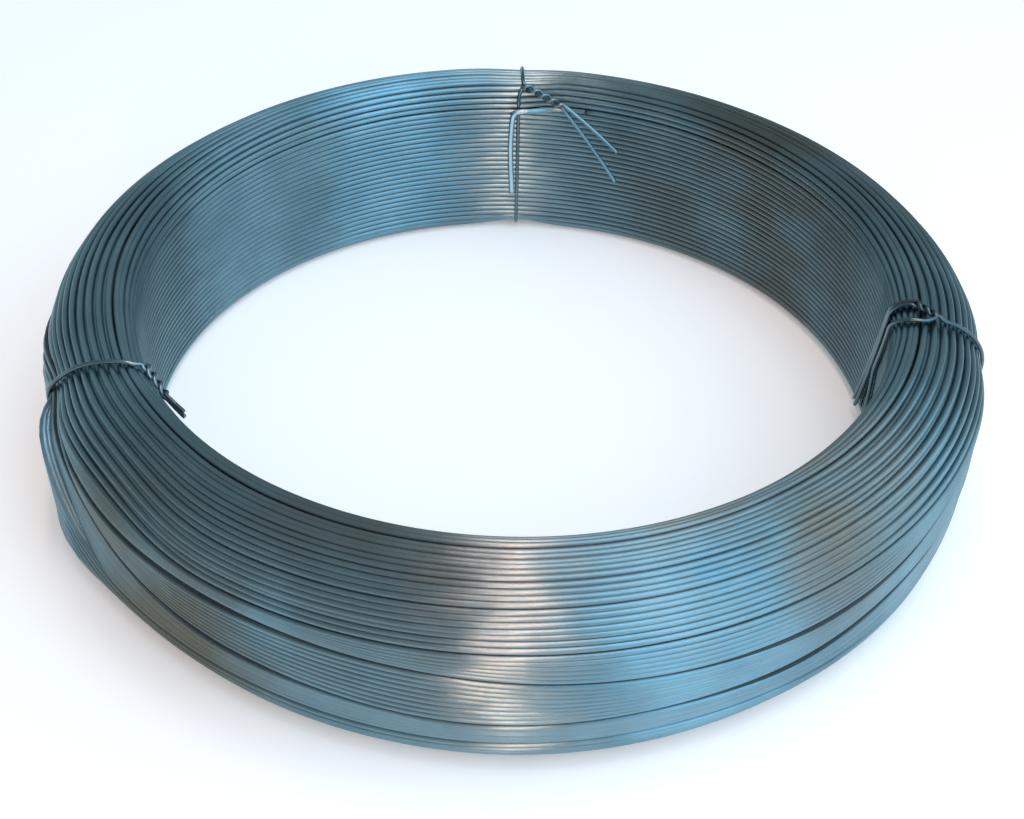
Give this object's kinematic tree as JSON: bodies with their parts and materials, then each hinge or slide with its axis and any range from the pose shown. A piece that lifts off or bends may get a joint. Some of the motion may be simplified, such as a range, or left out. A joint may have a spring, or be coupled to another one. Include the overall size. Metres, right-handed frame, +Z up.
{
  "type": "galvanized wire coil",
  "caption": "Ring-shaped coil of round galvanized steel wire with an open bore, bound round its section by thin twisted tie wires, ready to lie flat or go on a decoiler.",
  "frame": {"origin": "on the axis of the bore, at the level of the floor the coil lies on", "axes": "+Z up along the bore axis, +Y from the bore axis towards the back tie, +X to the right of that as the coil is seen from its front"},
  "size_m": [0.452, 0.4523, 0.0996],
  "materials": {
    "galvanized_wire": "galvanized zinc, bluish grey, satin",
    "galvanized_tie": "galvanized zinc, bluish grey, satin"
  },
  "bodies": {
    "root": {"coil": "galvanized_wire", "tie_back": "galvanized_tie", "tie_left": "galvanized_tie", "tie_right": "galvanized_tie"}
  },
  "joints": []
}
